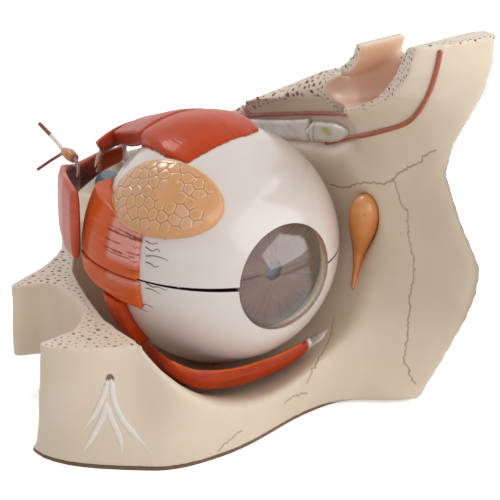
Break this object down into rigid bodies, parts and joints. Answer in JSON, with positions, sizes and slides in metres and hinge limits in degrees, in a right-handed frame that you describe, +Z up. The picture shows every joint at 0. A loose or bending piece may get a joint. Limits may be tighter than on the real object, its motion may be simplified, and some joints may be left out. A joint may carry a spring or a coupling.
{
  "type": "eye anatomy model",
  "caption": "Enlarged take-apart human eyeball with muscles, lying in a cut-open bony eye socket; the ball lifts out and opens into halves, coats, lens and clear inner body.",
  "frame": {"origin": "on the flat felt base, straight below the centre of the eyeball", "axes": "+X towards the nose, +Y to the back of the socket (the gaze is along -Y), +Z up"},
  "size_m": [0.1693, 0.2478, 0.187],
  "materials": {
    "bone": "painted casting, satin cream",
    "felt": "thin brown felt",
    "muscle": "painted orange-red, glossy varnish",
    "tendon": "painted pink, glossy varnish",
    "white_tendon": "painted off-white, satin",
    "sclera": "moulded warm white, satin gloss",
    "clear_cornea": "clear moulded plastic, polished",
    "clear_lens": "clear moulded plastic, polished",
    "clear_vitreous": "clear cast plastic, polished",
    "choroid": "painted dark red-brown, satin",
    "iris": "painted brown with fine radial lines",
    "optic_nerve": "painted blue-grey, satin",
    "nerve": "painted brown, satin",
    "white_nerve": "painted white, satin",
    "artery": "painted red, glossy",
    "pink_artery": "painted pink-red, glossy",
    "gland": "painted amber, glossy varnish",
    "tear_sac": "painted orange, glossy varnish",
    "cartilage": "painted pale yellow-green, glossy",
    "pin_steel": "bright turned pin"
  },
  "bodies": {
    "orbit": {"zygomatic_bone": "bone", "temporal_lobe": "bone", "maxilla": "bone", "nasal_bone": "bone", "frontal_bone": "bone", "ethmoid_wall": "bone", "sphenoid_bone": "bone", "base_felt": "felt", "lacrimal_sac": "tear_sac", "trochlea": "cartilage", "superior_oblique": "white_tendon", "superior_rectus_rear": "tendon", "lateral_rectus_rear": "tendon", "medial_rectus_rear": "tendon", "inferior_rectus_rear": "tendon", "inferior_oblique": "muscle", "tendinous_ring": "white_tendon", "supraorbital_artery": "artery", "ethmoidal_artery": "pink_artery", "ophthalmic_artery": "artery", "ciliary_nerves": "nerve", "zygomatic_nerve": "white_nerve"},
    "lower_half": {"lower_sclera": "sclera", "optic_nerve": "optic_nerve", "lateral_rectus_lower": "muscle", "inferior_rectus_front": "muscle", "inferior_oblique_insertion": "muscle", "seam_pins": "pin_steel"},
    "lower_coat": {"lower_choroid": "choroid", "lower_iris": "iris"},
    "glass_body": {"vitreous_body": "clear_vitreous"},
    "crystalline_lens": {"lens": "clear_lens"},
    "upper_coat": {"upper_choroid": "choroid", "upper_iris": "iris"},
    "upper_half": {"upper_sclera": "sclera", "cornea": "clear_cornea", "superior_rectus_front": "muscle", "superior_rectus_middle": "tendon", "lateral_rectus_upper": "muscle", "lacrimal_gland": "gland"}
  },
  "joints": [
    {"name": "eyeball_pull_out", "type": "slide", "parent": "orbit", "child": "lower_half", "axis": [-0.1961, -0.8813, 0.4299], "range_m": [0, 0.15]},
    {"name": "lower_coat_lift", "type": "slide", "parent": "lower_half", "child": "lower_coat", "axis": [0, 0, 1], "range_m": [0, 0.06]},
    {"name": "glass_body_lift", "type": "slide", "parent": "lower_coat", "child": "glass_body", "axis": [0, 0, 1], "range_m": [0, 0.06]},
    {"name": "lens_lift", "type": "slide", "parent": "glass_body", "child": "crystalline_lens", "axis": [0, 0, 1], "range_m": [0, 0.075]},
    {"name": "upper_coat_lift", "type": "slide", "parent": "crystalline_lens", "child": "upper_coat", "axis": [0, 0, 1], "range_m": [0, 0.06]},
    {"name": "upper_half_lift", "type": "slide", "parent": "upper_coat", "child": "upper_half", "axis": [0, 0, 1], "range_m": [0, 0.06]}
  ]
}
